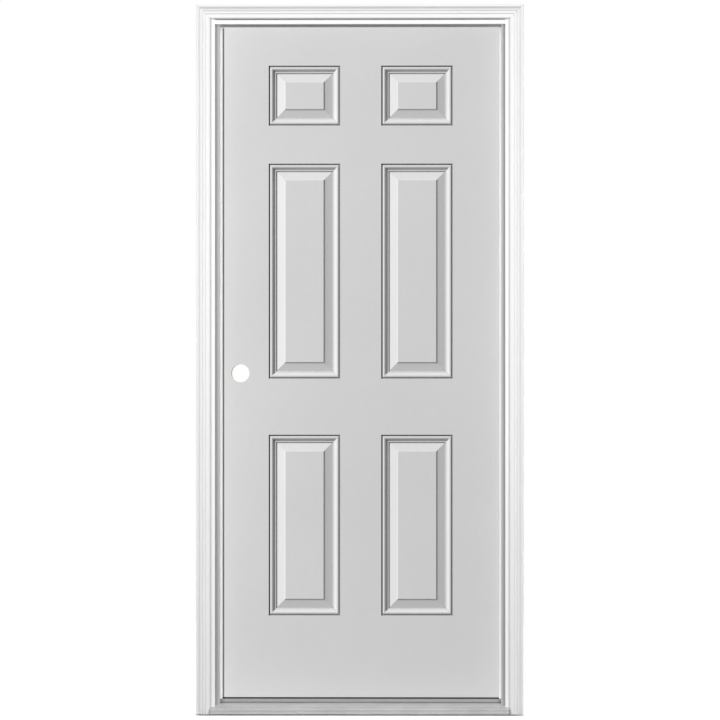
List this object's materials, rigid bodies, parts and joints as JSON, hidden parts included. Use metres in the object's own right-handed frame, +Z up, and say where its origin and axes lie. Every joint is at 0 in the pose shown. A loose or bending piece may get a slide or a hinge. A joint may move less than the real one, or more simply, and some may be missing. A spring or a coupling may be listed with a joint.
{
  "type": "panelled front door",
  "caption": "Pre-hung inswing entry door: insulated pressed-steel raised-panel leaf with a lock bore, hinged in a wood frame with brickmould, weatherstrip and sill.",
  "frame": {"origin": "underside of the sill, at the middle of the door's width, in line with the outdoor edge of the jambs", "axes": "+X to the right as seen from outdoors (hinge side), +Y into the house, +Z up"},
  "size_m": [0.9716, 0.1622, 2.1077],
  "materials": {
    "leaf_primer": "satin grey-white factory primer",
    "frame_paint": "white primed wood",
    "casing_paint": "white primed wood",
    "weatherstrip": "matt pale foam seal",
    "sill_core": "grey composite",
    "sill_metal": "mill finish, ribbed",
    "sill_cap": "grey composite",
    "hinge_metal": "zinc-plated",
    "fixings": "zinc-plated",
    "bare_wood": "bare pine",
    "foam": "polyurethane foam",
    "sweep_vinyl": "matt vinyl"
  },
  "bodies": {
    "frame": {"hinge_jamb": "frame_paint", "strike_jamb": "frame_paint", "head_jamb": "frame_paint", "brickmould_hinge_side": "casing_paint", "brickmould_strike_side": "casing_paint", "brickmould_head": "casing_paint", "brickmould_nails": "fixings", "frame_screws": "fixings", "weatherstrip_hinge_side": "weatherstrip", "weatherstrip_strike_side": "weatherstrip", "weatherstrip_head": "weatherstrip", "sill_substrate": "sill_core", "sill_deck": "sill_metal", "sill_cap": "sill_cap", "jamb_hinge_bottom": "hinge_metal", "jamb_hinge_middle": "hinge_metal", "jamb_hinge_top": "hinge_metal", "hinge_pin_bottom": "hinge_metal", "hinge_pin_middle": "hinge_metal", "hinge_pin_top": "hinge_metal", "hinge_screws_jamb": "fixings"},
    "door_leaf": {"exterior_skin": "leaf_primer", "interior_skin": "leaf_primer", "hinge_stile": "bare_wood", "lock_stile": "bare_wood", "top_rail": "bare_wood", "bottom_rail": "bare_wood", "lock_block": "bare_wood", "foam_core": "foam", "door_sweep": "sweep_vinyl", "leaf_hinge_bottom": "hinge_metal", "leaf_hinge_middle": "hinge_metal", "leaf_hinge_top": "hinge_metal", "hinge_screws_leaf": "fixings"}
  },
  "joints": [
    {"name": "door_swing", "type": "hinge", "parent": "frame", "child": "door_leaf", "pos_m": [0.43021, 0.1229, 1], "axis": [0, 0, -1], "range_deg": [0, 170]}
  ]
}
